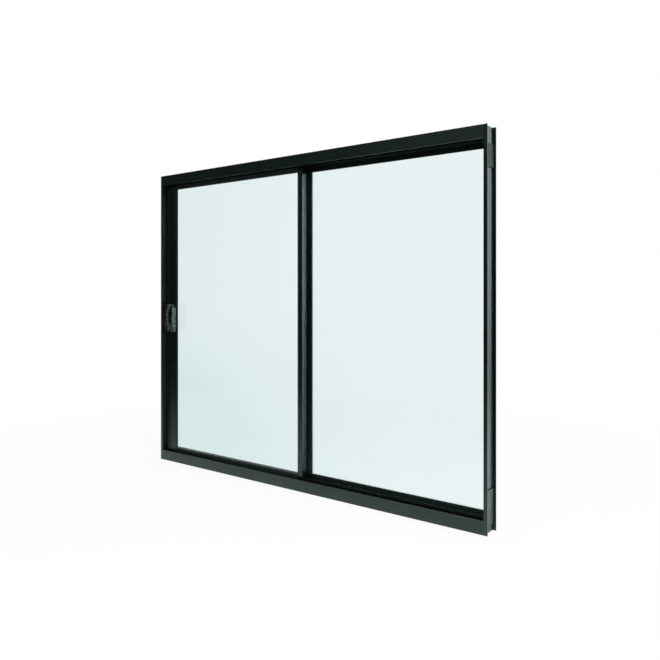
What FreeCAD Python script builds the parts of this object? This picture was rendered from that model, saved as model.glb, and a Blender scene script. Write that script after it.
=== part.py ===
"""Horizontal sliding window: one sash that slides in front of one fixed lite.

The frame's origin is the middle of the sill's flat underside. X runs along the window
to the right as seen from the room, Y runs from the room to the outside and Z runs up.
All sizes are millimetres. In the sections, depths are counted from the room face.
"""
import FreeCAD, Part
import Sketcher
import os
import re

PARTS_FOLDER = "parts"
SHEET_NAME = "Sizes"

# Driving sizes, one cell each
SIZES = {
    # Outer frame
    "width": 1810.0,
    "height": 1460.0,
    "wall": 2.0,
    "face_t": 2.5,
    "head_face": 49.0,
    "lip_depth": 6.0,
    "shelf_rise": 48.0,
    "upstand": 10.0,
    "jamb_groove": 13.0,
    "jamb_stop": 10.0,
    # Sash in its track
    "sash_front": 26.0,
    "sash_t": 20.0,
    "run_gap": 5.0,
    "sash_low_gap": 20.0,
    "sash_top_gap": 20.0,
    "sash_end_gap": 5.0,
    "sash_width": 913.0,
    "lock_stile_w": 68.0,
    "lock_rebate_w": 8.0,
    "lock_rebate_d": 6.0,
    "meeting_stile_w": 30.0,
    "bottom_rail_h": 40.5,
    "top_rail_h": 50.0,
    "sash_wall": 2.0,
    "bead_slope_w": 16.0,
    "lip_t": 1.4,
    "glass_cover": 10.0,
    "block_t": 2.0,
    # Interlock of the two meeting stiles
    "hook_t": 1.8,
    "hook_len": 12.0,
    "hook_end_gap": 8.0,
    "lip_len": 12.0,
    "mullion_w": 21.0,
    "mullion_gap": 7.0,
    "mullion_flange": 40.0,
    # Fixed lite
    "bead_t": 2.0,
    "bead_sight": 21.0,
    "low_bead_sight": 18.0,
    "top_bead_sight": 23.0,
    "bead_foot": 4.6,
    "bead_foot_t": 1.5,
    "gasket_t": 1.4,
    "glass_t": 4.0,
    "tape_t": 1.0,
    "mullion_glass_in": 16.0,
    "block_len": 80.0,
    # Track, guide and rollers
    "track_top": 14.0,
    "track_t": 3.0,
    "fin_len": 40.0,
    "fin_t": 2.0,
    "fin_seat_t": 1.4,
    "fin_seat_h": 4.0,
    "wheel_r": 10.0,
    "wheel_t": 7.0,
    "flange_r": 12.0,
    "groove_floor": 3.6,
    "groove_mouth": 4.6,
    "wheel_gap": 0.3,
    "axle_r": 3.0,
    "axle_gap": 0.1,
    "roller_inset": 110.0,
    "housing_len": 70.0,
    "housing_t": 1.5,
    "guide_len": 45.0,
    "guide_h": 30.0,
    "guide_gap": 0.6,
    # Seals and stops
    "seal_gap": 0.3,
    "seal_w": 8.0,
    "seal_end_gap": 1.0,
    "buffer_t": 12.0,
    "buffer_w": 14.0,
    "buffer_h": 30.0,
    # Latch
    "latch_mid": 728.0,
    "latch_len": 145.0,
    "latch_w": 34.0,
    "latch_x": 32.0,
    "latch_body_d": 26.0,
    "body_toe_d": 9.0,
    "body_slope_h": 46.0,
    "body_round": 5.0,
    "latch_edge_round": 1.8,
    "grip_w": 22.0,
    "arm_h": 16.0,
    "arm_gap": 2.0,
    "arm_reach": 20.0,
    "grip_gap": 12.0,
    "grip_t": 15.0,
    "grip_reach": 34.0,
    "grip_bend_up": 20.0,
    "grip_bend_down": 13.0,
    "grip_heel_reach": 25.0,
    "grip_heel_down": 38.0,
    "grip_tip_up": 5.0,
    "grip_tip_t": 6.0,
    "grip_round": 6.0,
    "grip_curve": 60.0,
    "pivot_r": 6.0,
    "keeper_t": 1.5,
    "keeper_w": 18.0,
    "keeper_h": 90.0,
    "keeper_slot_w": 8.0,
    "keeper_slot_h": 40.0,
    # Fixing pads in the jambs' outer channels
    "pad_t": 5.0,
    "pad_gap": 0.5,
    "upper_pad_h": 85.0,
    "lower_pad_h": 129.0,
    "pad_from_top": 63.0,
    "pad_from_bottom": 26.0,
    "fixing_hole_r": 3.2,
    # Drainage
    "weep_len": 30.0,
    "weep_h": 6.0,
    "weep_inset": 300.0,
}

# Sizes that follow from the driving ones
FOLLOWS = {
    "sash_back": "sash_front + sash_t",
    "track_mid": "sash_front + sash_t / 2",
    "lip_front": "sash_back + run_gap",
    "lip_back": "lip_front + hook_t",
    "hook_front": "lip_back + run_gap",
    "hook_back": "hook_front + hook_t",
    "lite_front": "hook_back + run_gap",
    "bead_back": "lite_front + bead_t",
    "lite_glass_front": "bead_back + gasket_t",
    "lite_glass_back": "lite_glass_front + glass_t",
    "rear_wall": "lite_glass_back + tape_t",
    "depth": "rear_wall + wall",
    "jamb_face": "jamb_groove + wall",
    "between_jambs": "width - 2 * jamb_face",
    "sash_left": "jamb_face + sash_end_gap",
    "sash_right": "sash_left + sash_width",
    "sash_height": "height - sash_low_gap - sash_top_gap",
    "pocket_in": "glass_cover + block_t",
    "sash_glass_front": "track_mid - glass_t / 2",
    "sash_glass_back": "track_mid + glass_t / 2",
    "sash_lip_back": "sash_glass_front - gasket_t",
    "sash_rear_lip": "sash_glass_back + gasket_t",
    "lock_line": "sash_left + lock_stile_w",
    "meeting_line": "sash_right - meeting_stile_w",
    "bottom_line": "sash_low_gap + bottom_rail_h",
    "top_line": "height - sash_top_gap - top_rail_h",
    "mullion_right": "sash_right - hook_len - mullion_gap",
    "mullion_left": "mullion_right - mullion_w",
    "mullion_line": "mullion_right + mullion_flange",
    "lite_left": "mullion_line - mullion_glass_in",
    "lite_right": "width - jamb_face - block_t",
    "lite_low": "shelf_rise + block_t",
    "lite_high": "height - shelf_rise - block_t",
    "bead_line": "shelf_rise + low_bead_sight",
    "top_bead_line": "height - shelf_rise - top_bead_sight",
    "jamb_bead_line": "width - jamb_face - bead_sight",
    "latch_front": "sash_front - latch_body_d",
    "latch_low": "latch_mid - latch_len / 2",
    "latch_high": "latch_mid + latch_len / 2",
    "fixing_line": "(sash_back + lite_front) / 2",
    "upper_fixing": "height - pad_from_top - upper_pad_h / 2",
    "lower_fixing": "pad_from_bottom + lower_pad_h / 2",
}


def formula(text):
    """Turn words of SIZES and FOLLOWS into an expression on the sheet's cells."""
    def swap(match):
        word = match.group(0)
        if word in FOLLOWS:
            return "(" + formula(FOLLOWS[word]) + ")"
        if word in SIZES:
            return SHEET_NAME + "." + word
        return word
    return re.sub(r"[a-z_]+", swap, str(text))


doc = FreeCAD.newDocument("SlidingWindow")
sheet = doc.addObject("Spreadsheet::Sheet", SHEET_NAME)
for row, (alias, size) in enumerate(SIZES.items(), start=1):
    sheet.set("A%d" % row, alias)
    sheet.set("B%d" % row, str(size))
    sheet.setAlias("B%d" % row, alias)
doc.recompute()

sub_parts = []


def value(text):
    """Work out a formula as a number, for a sketch's first position."""
    return float(sheet.evalExpression(formula(text)))


def place(item, x, y, z):
    """Bind an object's position to the sheet; x is from the frame's left edge, y from its room face."""
    item.setExpression("Placement.Base.x", formula("%s - width / 2" % x))
    item.setExpression("Placement.Base.y", formula("%s - depth / 2" % y))
    item.setExpression("Placement.Base.z", formula(z))


def new_body(label, x="0", y="0", z="0"):
    """Start one sub-part as a body placed by three formulas."""
    body = doc.addObject("PartDesign::Body", label)
    body.Label = label
    place(body, x, y, z)
    sub_parts.append(body)
    return body


def plane_of(body, role):
    """Find one of a body's own origin planes or axes."""
    return [item for item in body.Origin.OriginFeatures if item.Role == role][0]


def sketch_on(body, name, role, loops, circles=(), offset=None):
    """Draw closed outlines, each a list of corner formulas, and circles, on an origin plane."""
    sketch = body.newObject("Sketcher::SketchObject", name)
    sketch.AttachmentSupport = (plane_of(body, role), [""])
    sketch.MapMode = "FlatFace"
    if offset is not None:
        sketch.setExpression("AttachmentOffset.Base.z", formula(offset))
    for loop in loops:
        corners = [FreeCAD.Vector(value(across), value(up), 0) for across, up in loop]
        first = sketch.GeometryCount
        for index, corner in enumerate(corners):
            after = corners[(index + 1) % len(corners)]
            sketch.addGeometry(Part.LineSegment(corner, after), False)
        for index, (across, up) in enumerate(loop):
            line = first + index
            following = first + (index + 1) % len(loop)
            sketch.addConstraint(Sketcher.Constraint("Coincident", line, 2, following, 1))
            fix_point(sketch, line, 1, across, up)
    for across, up, radius in circles:
        centre = FreeCAD.Vector(value(across), value(up), 0)
        ring = sketch.addGeometry(Part.Circle(centre, FreeCAD.Vector(0, 0, 1), value(radius)), False)
        fix_point(sketch, ring, 3, across, up)
        held = sketch.addConstraint(Sketcher.Constraint("Radius", ring, value(radius)))
        sketch.setExpression("Constraints[%d]" % held, formula(radius))
    return sketch


def fix_point(sketch, line, end, across, up):
    """Hold a point at formulas for its distance across and up from the sketch's origin."""
    for kind, text in (("DistanceX", across), ("DistanceY", up)):
        held = sketch.addConstraint(Sketcher.Constraint(kind, -1, 1, line, end, value(text)))
        sketch.setExpression("Constraints[%d]" % held, formula(text))


def pad(body, sketch, length, name="Pad"):
    """Extrude a sketch along its plane's normal."""
    feature = body.newObject("PartDesign::Pad", name)
    feature.Profile = sketch
    feature.setExpression("Length", formula(length))
    sketch.Visibility = False
    return feature


def pocket(body, sketch, name, length=None, reverse=False):
    """Cut a sketch to a length, or through the whole body, and check that it cuts."""
    doc.recompute()
    before = body.Shape.Volume
    feature = body.newObject("PartDesign::Pocket", name)
    feature.Profile = sketch
    feature.Reversed = reverse
    if length is None:
        feature.Type = "ThroughAll"
    else:
        feature.setExpression("Length", formula(length))
    doc.recompute()
    if not body.Shape.Volume < before - 1.0:
        raise RuntimeError("%s of %s cuts nothing" % (name, body.Label))
    return feature


def round_edges(body, name, radius, chosen):
    """Round the edges that a test picks, to a radius formula."""
    doc.recompute()
    before = body.Tip
    picked = ["Edge%d" % number for number, edge in enumerate(before.Shape.Edges, start=1) if chosen(edge)]
    feature = body.newObject("PartDesign::Fillet", name)
    feature.Base = (before, picked)
    feature.setExpression("Radius", formula(radius))
    before.Visibility = False
    return feature


def runs_along_x(edge):
    """True for a straight edge that is parallel to X."""
    return edge.BoundBox.YLength < 0.001 and edge.BoundBox.ZLength < 0.001


def lies_across_x(edge):
    """True for an edge in a plane that X meets squarely."""
    return edge.BoundBox.XLength < 0.001


def along_x(label, section, start, length, z="0", holes=()):
    """Extrusion along X: the section's corners are depth and height."""
    body = new_body(label, start, "0", z)
    pad(body, sketch_on(body, label + "_section", "YZ_Plane", [section] + list(holes)), length)
    return body


def upright(label, section, x, z, length, holes=()):
    """Extrusion along Z: the section's corners are X and depth."""
    body = new_body(label, x, "0", z)
    pad(body, sketch_on(body, label + "_section", "XY_Plane", [section] + list(holes)), length)
    return body


def facing(label, outline, depth_at, thickness, holes=(), circles=()):
    """Plate that faces the room: the outline's corners are X and Z, from the frame's corner."""
    body = new_body(label, "0", depth_at, "0")
    sketch = sketch_on(body, label + "_outline", "XZ_Plane", [outline] + list(holes), circles)
    feature = pad(body, sketch, thickness)
    feature.Reversed = True
    return body


def rectangle(left, low, right, high):
    """Corners of an upright rectangle."""
    return [(left, low), (right, low), (right, high), (left, high)]


def flip_up(section):
    """Turn a section upside down about its zero line."""
    return [(across, "-(%s)" % up) for across, up in section]


def flip_across(section):
    """Mirror a section about its zero line."""
    return [("-(%s)" % across, up) for across, up in section]


# Frame: sill and head, which share one section apart from the ribs in the sash's channel
def channel_section(ribs):
    """Room face with a lip, open sash channel with ribs, glazing shelf and rear upstand."""
    return [
        ("0", "0"),
        ("depth", "0"),
        ("depth", "shelf_rise + upstand"),
        ("rear_wall", "shelf_rise + upstand"),
        ("rear_wall", "shelf_rise"),
        ("lip_front", "shelf_rise"),
        ("lip_front", "wall"),
    ] + ribs + [
        ("face_t", "wall"),
        ("face_t", "head_face - wall"),
        ("lip_depth", "head_face - wall"),
        ("lip_depth", "head_face"),
        ("0", "head_face"),
    ]


def rib(near, far, reach):
    """Corners of a rib on the channel's floor, from its far side to its near side."""
    return [(far, "wall"), (far, reach), (near, reach), (near, "wall")]


track_rib = rib("track_mid - track_t / 2", "track_mid + track_t / 2", "track_top")
fin_near = "track_mid - fin_t / 2"
fin_far = "track_mid + fin_t / 2"
fin_seat = rib(fin_far, fin_far + " + fin_seat_t", "wall + fin_seat_h")
fin_seat += rib(fin_near + " - fin_seat_t", fin_near, "wall + fin_seat_h")
chamber = rectangle("lip_front + wall", "wall", "rear_wall", "shelf_rise - wall")
sill = along_x("frame_sill", channel_section(track_rib), "jamb_face", "between_jambs", "0", [chamber])
along_x("frame_head", flip_up(channel_section(fin_seat)), "jamb_face", "between_jambs", "height", [flip_up(chamber)])
along_x("head_guide_rail", rectangle(fin_near, "0", fin_far, "fin_len - wall"), "jamb_face", "between_jambs",
        "height - fin_len")

# Weep slots through the sill's rear wall let water out of the chamber
slots = []
for centre in ("weep_inset", "between_jambs - weep_inset"):
    slots.append(rectangle("%s - weep_len / 2" % centre, "wall", "%s + weep_len / 2" % centre, "wall + weep_h"))
weep_sketch = sketch_on(sill, "weep_slots", "XZ_Plane", slots, offset="-depth")
pocket(sill, weep_sketch, "weep_pocket", "wall", reverse=True)

# Frame: jambs, full height, with a channel that opens outwards and an inner glazing stop
jamb_section = [
    ("0", "0"),
    ("jamb_face", "0"),
    ("jamb_face", "rear_wall"),
    ("jamb_face + jamb_stop", "rear_wall"),
    ("jamb_face + jamb_stop", "depth"),
    ("0", "depth"),
    ("0", "rear_wall"),
    ("jamb_groove", "rear_wall"),
    ("jamb_groove", "face_t"),
    ("0", "face_t"),
]
notch = rectangle("rear_wall", "0", "depth", "shelf_rise + upstand")
high_notch = rectangle("rear_wall", "height - shelf_rise - upstand", "depth", "height")
left_jamb = upright("left_jamb", jamb_section, "0", "0", "height")
right_jamb = upright("right_jamb", flip_across(jamb_section), "width", "0", "height")


# The jambs' glazing stops are cut away where the sill's and head's upstands pass behind them
for jamb, start in ((left_jamb, "jamb_face"), (right_jamb, "-jamb_face - jamb_stop")):
    doc.recompute()
    stop_ends = sketch_on(jamb, jamb.Label + "_stop_ends", "YZ_Plane", [notch, high_notch], offset=start)
    pocket(jamb, stop_ends, "stop_cope", "jamb_stop", reverse=True)

# Screw holes through the jambs' webs, in line with those of the fixing pads
fixing_holes = [("fixing_line", height, "fixing_hole_r") for height in ("upper_fixing", "lower_fixing")]
for jamb, inwards in ((left_jamb, True), (right_jamb, False)):
    screw_sketch = sketch_on(jamb, jamb.Label + "_screw_holes", "YZ_Plane", [], fixing_holes)
    pocket(jamb, screw_sketch, "screw_holes", reverse=inwards)

# Fixed mullion: box behind the sash's meeting stile, two glazing flanges and the interlock lip
mullion_section = [
    ("mullion_left", "lip_front"),
    ("mullion_right + lip_len", "lip_front"),
    ("mullion_right + lip_len", "lip_back"),
    ("mullion_right", "lip_back"),
    ("mullion_right", "lite_front"),
    ("mullion_line", "lite_front"),
    ("mullion_line", "bead_back"),
    ("mullion_right", "bead_back"),
    ("mullion_right", "rear_wall"),
    ("mullion_line", "rear_wall"),
    ("mullion_line", "depth"),
    ("mullion_left", "depth"),
]
mullion_hollow = rectangle("mullion_left + wall", "lip_front + wall", "mullion_right - wall", "rear_wall")
mullion = upright("fixed_mullion", mullion_section, "0", "shelf_rise", "height - 2 * shelf_rise", [mullion_hollow])
doc.recompute()
mullion_ends = [
    rectangle("rear_wall", "0", "depth", "upstand"),
    rectangle("rear_wall", "height - 2 * shelf_rise - upstand", "depth", "height - 2 * shelf_rise"),
]
end_sketch = sketch_on(mullion, "mullion_cope_outline", "YZ_Plane", mullion_ends)
pocket(mullion, end_sketch, "mullion_cope", reverse=True)

# Fixed lite: glass on setting blocks, beads at the front, gasket and tape on its faces
facing("fixed_glass", rectangle("lite_left", "lite_low", "lite_right", "lite_high"), "lite_glass_front", "glass_t")


def bead_section(sight):
    """Give a bead's outline: a foot that hooks forward and a web as tall as the sight."""
    return [
        ("lite_front - bead_foot", "0"),
        ("bead_back", "0"),
        ("bead_back", sight),
        ("lite_front", sight),
        ("lite_front", "bead_foot_t"),
        ("lite_front - bead_foot", "bead_foot_t"),
    ]


bead_run = "width - jamb_face - mullion_line"
along_x("fixed_bottom_bead", bead_section("low_bead_sight"), "mullion_line", bead_run, "shelf_rise")
along_x("fixed_top_bead", flip_up(bead_section("top_bead_sight")), "mullion_line", bead_run, "height - shelf_rise")
side_bead = flip_across([(up, across) for across, up in bead_section("bead_sight")])
upright("fixed_jamb_bead", side_bead, "width - jamb_face", "bead_line", "top_bead_line - bead_line")
facing(
    "fixed_front_gasket",
    rectangle("lite_left", "lite_low", "lite_right", "lite_high"),
    "bead_back",
    "gasket_t",
    [rectangle("mullion_line", "bead_line", "jamb_bead_line", "top_bead_line")],
)
rear_line = "(shelf_rise + upstand)"
facing(
    "fixed_rear_tape",
    rectangle("lite_left", "lite_low", "lite_right", "lite_high"),
    "lite_glass_back",
    "tape_t",
    [rectangle("mullion_line", rear_line, "width - jamb_face - jamb_stop", "height - %s" % rear_line)],
)
for label, middle in (("left_setting_block", "(3 * lite_left + lite_right) / 4"),
                      ("right_setting_block", "(lite_left + 3 * lite_right) / 4")):
    block = rectangle("lite_glass_front", "0", "rear_wall", "block_t")
    along_x(label, block, "%s - block_len / 2" % middle, "block_len", "shelf_rise")

# Sash: stiles run the full height, rails fit between them
pocket_floor_lock = "lock_stile_w - pocket_in"
lock_section = [
    ("0", "sash_back"),
    (pocket_floor_lock, "sash_back"),
    ("lock_stile_w", "sash_rear_lip + sash_wall"),
    ("lock_stile_w", "sash_rear_lip"),
    (pocket_floor_lock, "sash_rear_lip"),
    (pocket_floor_lock, "sash_lip_back"),
    ("lock_stile_w", "sash_lip_back"),
    ("lock_stile_w", "sash_lip_back - lip_t"),
    ("lock_stile_w - bead_slope_w", "sash_front"),
    ("lock_rebate_w", "sash_front"),
    ("lock_rebate_w", "sash_front + lock_rebate_d"),
    ("0", "sash_front + lock_rebate_d"),
]
lock_hollow = [
    ("sash_wall", "sash_front + lock_rebate_d + sash_wall"),
    ("lock_rebate_w + sash_wall", "sash_front + lock_rebate_d + sash_wall"),
    ("lock_rebate_w + sash_wall", "sash_front + sash_wall"),
    ("lock_stile_w - bead_slope_w", "sash_front + sash_wall"),
    (pocket_floor_lock + " - sash_wall", "sash_lip_back - lip_t"),
    (pocket_floor_lock + " - sash_wall", "sash_back - sash_wall"),
    ("sash_wall", "sash_back - sash_wall"),
]
lock_stile = upright("sash_lock_stile", lock_section, "sash_left", "sash_low_gap", "sash_height", [lock_hollow])

meeting_section = [
    ("meeting_stile_w", "sash_front"),
    ("meeting_stile_w", "sash_back"),
    ("pocket_in", "sash_back"),
    ("0", "sash_rear_lip + sash_wall"),
    ("0", "sash_rear_lip"),
    ("pocket_in", "sash_rear_lip"),
    ("pocket_in", "sash_lip_back"),
    ("0", "sash_lip_back"),
    ("0", "sash_lip_back - lip_t"),
    ("bead_slope_w / 2", "sash_front"),
]
meeting_hollow = rectangle("pocket_in + sash_wall", "sash_front + sash_wall",
                           "meeting_stile_w - sash_wall", "sash_back - sash_wall")
meeting = upright("sash_meeting_stile", meeting_section, "meeting_line", "sash_low_gap", "sash_height",
                  [meeting_hollow])
hook_section = [
    ("meeting_stile_w - hook_t", "sash_back"),
    ("meeting_stile_w", "sash_back"),
    ("meeting_stile_w", "hook_back"),
    ("meeting_stile_w - hook_len", "hook_back"),
    ("meeting_stile_w - hook_len", "hook_front"),
    ("meeting_stile_w - hook_t", "hook_front"),
]
hook_low = "shelf_rise + hook_end_gap - sash_low_gap"
hook_sketch = sketch_on(meeting, "hook_section", "XY_Plane", [hook_section], offset=hook_low)
pad(meeting, hook_sketch, "height - 2 * (shelf_rise + hook_end_gap)", "HookPad")
fin_notch = rectangle(fin_near + " - run_gap", "height - fin_len - run_gap - sash_low_gap",
                      fin_far + " + run_gap", "sash_height")
for stile in (lock_stile, meeting):
    doc.recompute()
    notch_sketch = sketch_on(stile, stile.Label + "_notch", "YZ_Plane", [fin_notch])
    pocket(stile, notch_sketch, "fin_notch", reverse=True)


def rail_section(rail):
    """Open channel with its walls down, glazing pocket above, for a rail of the given height."""
    floor = "%s - pocket_in" % rail
    return [
        ("sash_front", "0"),
        ("sash_front + sash_wall", "0"),
        ("sash_front + sash_wall", floor + " - sash_wall"),
        ("sash_back - sash_wall", floor + " - sash_wall"),
        ("sash_back - sash_wall", "0"),
        ("sash_back", "0"),
        ("sash_back", floor),
        ("sash_rear_lip + sash_wall", rail),
        ("sash_rear_lip", rail),
        ("sash_rear_lip", floor),
        ("sash_lip_back", floor),
        ("sash_lip_back", rail),
        ("sash_lip_back - lip_t", rail),
        ("sash_front", "%s - bead_slope_w" % rail),
    ]


rail_run = "meeting_line - lock_line"
along_x("sash_bottom_rail", rail_section("bottom_rail_h"), "lock_line", rail_run, "sash_low_gap")
along_x("sash_top_rail", flip_up(rail_section("top_rail_h")), "lock_line", rail_run, "height - sash_top_gap")

sash_sheet = rectangle("lock_line - glass_cover", "bottom_line - glass_cover",
                       "meeting_line + glass_cover", "top_line + glass_cover")
sash_sight = rectangle("lock_line", "bottom_line", "meeting_line", "top_line")
facing("sash_glass", sash_sheet, "sash_glass_front", "glass_t")
facing("sash_front_gasket", sash_sheet, "sash_lip_back", "gasket_t", [sash_sight])
facing("sash_rear_gasket", sash_sheet, "sash_glass_back", "gasket_t", [sash_sight])
for label, middle in (("sash_left_setting_block", "(3 * lock_line + meeting_line) / 4"),
                      ("sash_right_setting_block", "(lock_line + 3 * meeting_line) / 4")):
    block = rectangle("sash_lip_back", "0", "sash_rear_lip", "block_t")
    along_x(label, block, "%s - block_len / 2" % middle, "block_len", "bottom_line - pocket_in")

# Rollers: a bracket under the bottom rail's web, with a grooved wheel on an axle
web_under = "bottom_line - pocket_in - sash_wall"
wheel_up = "track_top + wheel_gap + wheel_r"
for side, middle in (("left", "sash_left + roller_inset"), ("right", "sash_right - roller_inset")):
    bracket_low = "track_top + run_gap + wheel_gap"
    bracket_section = [
        ("sash_front + sash_wall", bracket_low),
        ("sash_front + sash_wall + housing_t", bracket_low),
        ("sash_front + sash_wall + housing_t", web_under + " - housing_t"),
        ("sash_back - sash_wall - housing_t", web_under + " - housing_t"),
        ("sash_back - sash_wall - housing_t", bracket_low),
        ("sash_back - sash_wall", bracket_low),
        ("sash_back - sash_wall", web_under),
        ("sash_front + sash_wall", web_under),
    ]
    bracket = along_x(side + "_roller_bracket", bracket_section, "%s - housing_len / 2" % middle, "housing_len")
    doc.recompute()
    axle_sketch = sketch_on(bracket, side + "_axle", "XZ_Plane", [], [("housing_len / 2", wheel_up, "axle_r")],
                            offset="-(sash_back - sash_wall)")
    pad(bracket, axle_sketch, "sash_t - 2 * sash_wall", "AxlePad")
    wheel = new_body(side + "_roller", middle, "track_mid", wheel_up)
    wheel_section = [
        ("-wheel_t / 2", "axle_r + axle_gap"),
        ("wheel_t / 2", "axle_r + axle_gap"),
        ("wheel_t / 2", "flange_r"),
        ("groove_mouth / 2", "flange_r"),
        ("groove_floor / 2", "wheel_r"),
        ("-groove_floor / 2", "wheel_r"),
        ("-groove_mouth / 2", "flange_r"),
        ("-wheel_t / 2", "flange_r"),
    ]
    turned = wheel.newObject("PartDesign::Revolution", "WheelTurning")
    turned.Profile = sketch_on(wheel, side + "_wheel_section", "YZ_Plane", [wheel_section])
    turned.ReferenceAxis = (plane_of(wheel, "Y_Axis"), [""])

# Guides: nylon blocks in the top rail that straddle the head's guide rail
for side, start in (("left", "lock_line"), ("right", "meeting_line - guide_len")):
    guide_low = "top_line + pocket_in + sash_wall"
    guide_section = [
        ("sash_front + sash_wall", "0"),
        ("sash_back - sash_wall", "0"),
        ("sash_back - sash_wall", "guide_h"),
        (fin_far + " + guide_gap", "guide_h"),
        (fin_far + " + guide_gap", "wall"),
        (fin_near + " - guide_gap", "wall"),
        (fin_near + " - guide_gap", "guide_h"),
        ("sash_front + sash_wall", "guide_h"),
    ]
    along_x(side + "_top_guide", guide_section, start, "guide_len", guide_low)

# Seals and stop
seal_section = rectangle("0", "track_mid - seal_w / 2", "sash_end_gap - seal_gap", "track_mid + seal_w / 2")
seal_break = "latch_mid - keeper_h / 2 - seal_end_gap"
upright("lower_jamb_seal", seal_section, "jamb_face", "shelf_rise", seal_break + " - shelf_rise")
seal_restart = "latch_mid + keeper_h / 2 + seal_end_gap"
upright("upper_jamb_seal", seal_section, "jamb_face", seal_restart, "height - shelf_rise - (%s)" % seal_restart)
pile = rectangle("sash_back + seal_gap", "0", "lip_front", "seal_w")
along_x("sill_pile", pile, "jamb_face", "between_jambs", "shelf_rise - wall - seal_w")
along_x("head_pile", pile, "jamb_face", "between_jambs", "height - shelf_rise + wall")
buffer_start = "width - jamb_face - buffer_t"
buffer_section = rectangle("track_mid - buffer_w / 2", "0", "track_mid + buffer_w / 2", "buffer_h")
along_x("sash_buffer", buffer_section, buffer_start, "buffer_t", "height / 2 - buffer_h / 2")

# Latch housing on the lock stile: it slopes back to a thin toe below the lever
housing_top = "latch_high - arm_h"
housing_section = [
    ("sash_front", "latch_low"),
    ("sash_front", housing_top),
    ("latch_front", housing_top),
    ("latch_front", "latch_low + body_slope_h"),
    ("sash_front - body_toe_d", "latch_low"),
]
housing = along_x("latch_housing", housing_section, "sash_left + latch_x", "latch_w")
against_sash = value("sash_front") + 0.001


def in_front(edge):
    """True for an edge that doesn't lie on the sash's front face."""
    return edge.BoundBox.YMax < against_sash and edge.BoundBox.YMin < value("sash_front") - 0.001


round_edges(housing, "HousingBends", "body_round", lambda edge: runs_along_x(edge) and in_front(edge))
round_edges(housing, "HousingEdges", "latch_edge_round", lambda edge: lies_across_x(edge) and in_front(edge))

# Latch lever: an arm over the housing that bends down into a curved finger grip with a thin tip
lever_section = [
    ("sash_front - arm_gap", housing_top),
    ("sash_front - arm_gap", "latch_high"),
    ("latch_front - arm_reach", "latch_high"),
    ("latch_front - grip_reach", "latch_mid + grip_bend_up"),
    ("latch_front - grip_reach", "latch_mid - grip_bend_down"),
    ("latch_front - grip_heel_reach", "latch_mid - grip_heel_down"),
    ("latch_front - grip_gap - grip_tip_t", "latch_low + grip_tip_up"),
    ("latch_front - grip_gap", "latch_low + grip_tip_up"),
    ("latch_front - grip_gap", "latch_mid - grip_bend_down"),
    ("latch_front - grip_reach + grip_t", "latch_mid + grip_bend_up"),
    ("latch_front - arm_reach + grip_t", housing_top),
]
lever = along_x("latch_lever", lever_section, "sash_left + latch_x + latch_w / 2 - grip_w / 2", "grip_w")
tip_top = value("latch_low + 2 * grip_tip_up")
curve_top = value("latch_mid + 2 * grip_bend_up")
arm_end = value("latch_front")


def elbows(edge):
    """True for the lever's two bends below its arm."""
    return runs_along_x(edge) and edge.BoundBox.ZMin > curve_top and edge.BoundBox.YMax < arm_end


def curves(edge):
    """True for the shallow bends of the finger grip."""
    return runs_along_x(edge) and tip_top < edge.BoundBox.ZMin < curve_top


def tips(edge):
    """True for the long edges at the lever's tip."""
    return runs_along_x(edge) and edge.BoundBox.ZMax < tip_top


round_edges(lever, "LeverElbows", "grip_round", elbows)
round_edges(lever, "LeverCurves", "grip_curve", curves)
round_edges(lever, "LeverTip", "grip_tip_t / 3", tips)
round_edges(lever, "LeverEdges", "latch_edge_round", lies_across_x)
doc.recompute()
pivot = sketch_on(lever, "lever_pivot", "XZ_Plane", [], [("grip_w / 2", "latch_mid + grip_bend_up", "pivot_r")],
                  offset="-(latch_front)")
pad(lever, pivot, "grip_reach - grip_t / 2", "PivotPad")

# Keeper on the jamb, which the latch's bolt enters
keeper_body = new_body("jamb_keeper", "jamb_face", "0", "0")
keeper_outline = rectangle("track_mid - keeper_w / 2", "latch_mid - keeper_h / 2",
                           "track_mid + keeper_w / 2", "latch_mid + keeper_h / 2")
keeper_slot = rectangle("track_mid - keeper_slot_w / 2", "latch_mid - keeper_slot_h / 2",
                        "track_mid + keeper_slot_w / 2", "latch_mid + keeper_slot_h / 2")
pad(keeper_body, sketch_on(keeper_body, "keeper_outline", "YZ_Plane", [keeper_outline, keeper_slot]), "keeper_t")

# Fixing pads: spacers on the web of each jamb's outer channel, each with a screw hole
for side, start in (("left", "jamb_groove - pad_t"), ("right", "width - jamb_groove")):
    for level, low, tall in (("upper", "height - pad_from_top - upper_pad_h", "upper_pad_h"),
                             ("lower", "pad_from_bottom", "lower_pad_h")):
        spacer = new_body("%s_%s_fixing_pad" % (side, level), start, "0", low)
        outline = rectangle("face_t + pad_gap", "0", "rear_wall - pad_gap", tall)
        hole = ("fixing_line", "%s / 2" % tall, "fixing_hole_r")
        pad(spacer, sketch_on(spacer, spacer.Label + "_outline", "YZ_Plane", [outline], [hole]), "pad_t")

doc.recompute()

for item in doc.Objects:
    if "Invalid" in item.State or "Error" in item.State:
        raise RuntimeError("%s is %s" % (item.Label, item.State))
os.makedirs(PARTS_FOLDER, exist_ok=True)
for body in sub_parts:
    if body.Shape.isNull() or not body.Shape.isValid():
        raise RuntimeError("%s has no valid shape" % body.Label)
for body in sub_parts:
    body.Shape.exportStep(os.path.join(PARTS_FOLDER, body.Label + ".step"))
print("%d sub-parts" % len(sub_parts))
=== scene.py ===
"""Looks of a horizontal sliding window: finishes, seals, brushes, screws, studio and camera.

All places are in metres in the window's own frame: X runs along the window to the right as
seen from the room, Y from the room to the outside, and Z up from the sill's underside.
"""
import sys

import logging
import math
from dataclasses import dataclass
from enum import Enum
from typing import Sequence

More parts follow.
